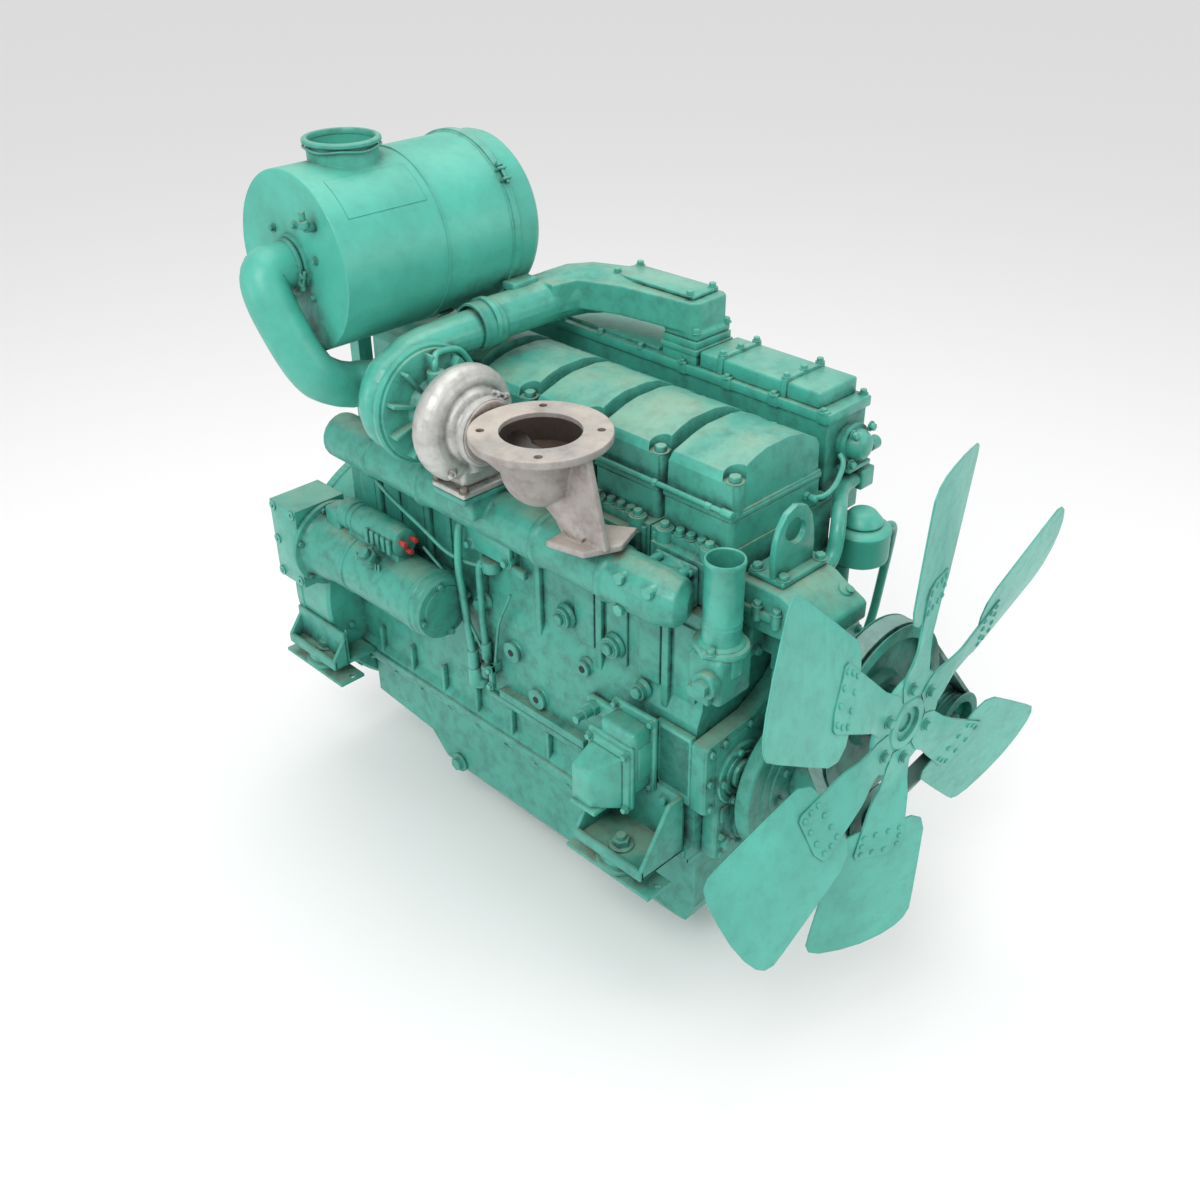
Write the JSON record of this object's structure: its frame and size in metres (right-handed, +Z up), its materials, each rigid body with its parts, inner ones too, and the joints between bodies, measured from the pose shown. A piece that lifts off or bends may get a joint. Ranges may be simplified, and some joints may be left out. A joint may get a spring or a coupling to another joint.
{
  "type": "diesel engine",
  "caption": "Inline turbocharged diesel engine with aftercooler, air filter, starter, fan, flywheel housing and a turning crank, cam, fan and turbo.",
  "frame": {"origin": "centre of the flywheel housing's rear face, on the crank axis", "axes": "+Y along the crank axis towards the flywheel end (rear), -Y towards the fan, +Z up along the cylinders, -X towards the exhaust side"},
  "size_m": [1.1771, 1.8197, 1.748],
  "materials": {
    "green_paint": "satin",
    "bare_steel": "satin",
    "raw_iron": "matte",
    "cast_elbow": "matte",
    "silver_coating": "satin",
    "alloy": "satin",
    "belt_rubber": "matte",
    "filter_paper": "matte",
    "black_plastic": "matte"
  },
  "bodies": {
    "engine": {"cylinder_block": "green_paint", "cylinder_liners": "raw_iron", "cylinder_heads": "green_paint", "rocker_housings": "green_paint", "rocker_cover_1": "green_paint", "rocker_cover_2": "green_paint", "rocker_cover_3": "green_paint", "rocker_cover_4": "green_paint", "rocker_cover_5": "green_paint", "rocker_cover_6": "green_paint", "cover_bolts": "green_paint", "push_rods": "bare_steel", "rocker_arms": "bare_steel", "valves": "bare_steel", "side_cover": "green_paint", "flywheel_housing": "green_paint", "starter_box": "green_paint", "gear_case": "green_paint", "oil_pan": "green_paint", "oil_filters": "green_paint", "aftercooler_body": "green_paint", "aftercooler_cover": "green_paint", "aftercooler_core": "alloy", "air_crossover": "green_paint", "compressor_housing": "green_paint", "turbine_housing": "silver_coating", "bearing_housing": "green_paint", "exhaust_elbow": "cast_elbow", "exhaust_manifold": "raw_iron", "filter_canister": "green_paint", "filter_end_cover": "green_paint", "filter_element": "filter_paper", "filter_bracket": "green_paint", "inlet_pipe": "green_paint", "thermostat_housing": "green_paint", "water_tube": "green_paint", "water_pump": "green_paint", "lifting_eye": "green_paint", "filler_can": "green_paint", "fan_bracket": "green_paint", "fan_belt": "belt_rubber", "starter_motor": "green_paint", "accessory_case": "green_paint", "fuel_pump": "green_paint", "mounting_feet": "green_paint", "fluid_lines": "green_paint"},
    "crank_body": {"crankshaft": "bare_steel", "flywheel": "bare_steel", "crank_pulley": "green_paint"},
    "camshaft_body": {"camshaft": "bare_steel"},
    "accessory_body": {"accessory_gear": "bare_steel"},
    "fan_body": {"fan": "green_paint", "fan_pulley": "bare_steel"},
    "pump_rotor_body": {"pump_rotor": "bare_steel"},
    "turbo_body": {"turbo_rotor": "bare_steel"},
    "pistons_1_6_body": {"pistons_1_6": "alloy"},
    "pistons_2_5_body": {"pistons_2_5": "alloy"},
    "pistons_3_4_body": {"pistons_3_4": "alloy"},
    "pinion_body": {"starter_pinion": "bare_steel"},
    "cap_body": {"filler_cap": "black_plastic"}
  },
  "joints": [
    {"name": "crank_spin", "type": "hinge", "parent": "engine", "child": "crank_body", "pos_m": [0, -0.7, 0], "axis": [0, 1, 0], "continuous": true},
    {"name": "cam_spin", "type": "hinge", "parent": "engine", "child": "camshaft_body", "pos_m": [0.14453, -0.7, 0.16052], "axis": [0, 1, 0], "continuous": true},
    {"name": "accessory_spin", "type": "hinge", "parent": "engine", "child": "accessory_body", "pos_m": [-0.1502, -1.41, 0.06069], "axis": [0, 1, 0], "continuous": true},
    {"name": "fan_spin", "type": "hinge", "parent": "engine", "child": "fan_body", "pos_m": [0, -1.65, 0.28], "axis": [0, 1, 0], "continuous": true},
    {"name": "pump_spin", "type": "hinge", "parent": "engine", "child": "pump_rotor_body", "pos_m": [0.33, -1.6, 0.06], "axis": [0, 1, 0], "continuous": true},
    {"name": "turbo_spin", "type": "hinge", "parent": "engine", "child": "turbo_body", "pos_m": [-0.335, -0.7, 0.762], "axis": [0, 1, 0], "continuous": true},
    {"name": "pistons_1_6_slide", "type": "slide", "parent": "engine", "child": "pistons_1_6_body", "axis": [0, 0, 1], "range_m": [-0.159, 0]},
    {"name": "pistons_2_5_slide", "type": "slide", "parent": "engine", "child": "pistons_2_5_body", "axis": [0, 0, 1], "range_m": [-0.03147, 0.12753]},
    {"name": "pistons_3_4_slide", "type": "slide", "parent": "engine", "child": "pistons_3_4_body", "axis": [0, 0, 1], "range_m": [-0.03147, 0.12753]},
    {"name": "pinion_slide", "type": "slide", "parent": "engine", "child": "pinion_body", "axis": [0, 1, 0], "range_m": [0, 0.03]},
    {"name": "cap_lift", "type": "slide", "parent": "engine", "child": "cap_body", "axis": [0, 0, 1], "range_m": [0, 0.02]}
  ],
  "couplings": [
    {"joint": "cam_spin", "follows": "crank_spin", "ratio": -0.5},
    {"joint": "accessory_spin", "follows": "crank_spin", "ratio": -0.8},
    {"joint": "fan_spin", "follows": "crank_spin", "ratio": 0.34737},
    {"joint": "pump_spin", "follows": "crank_spin", "ratio": 0.86842}
  ]
}
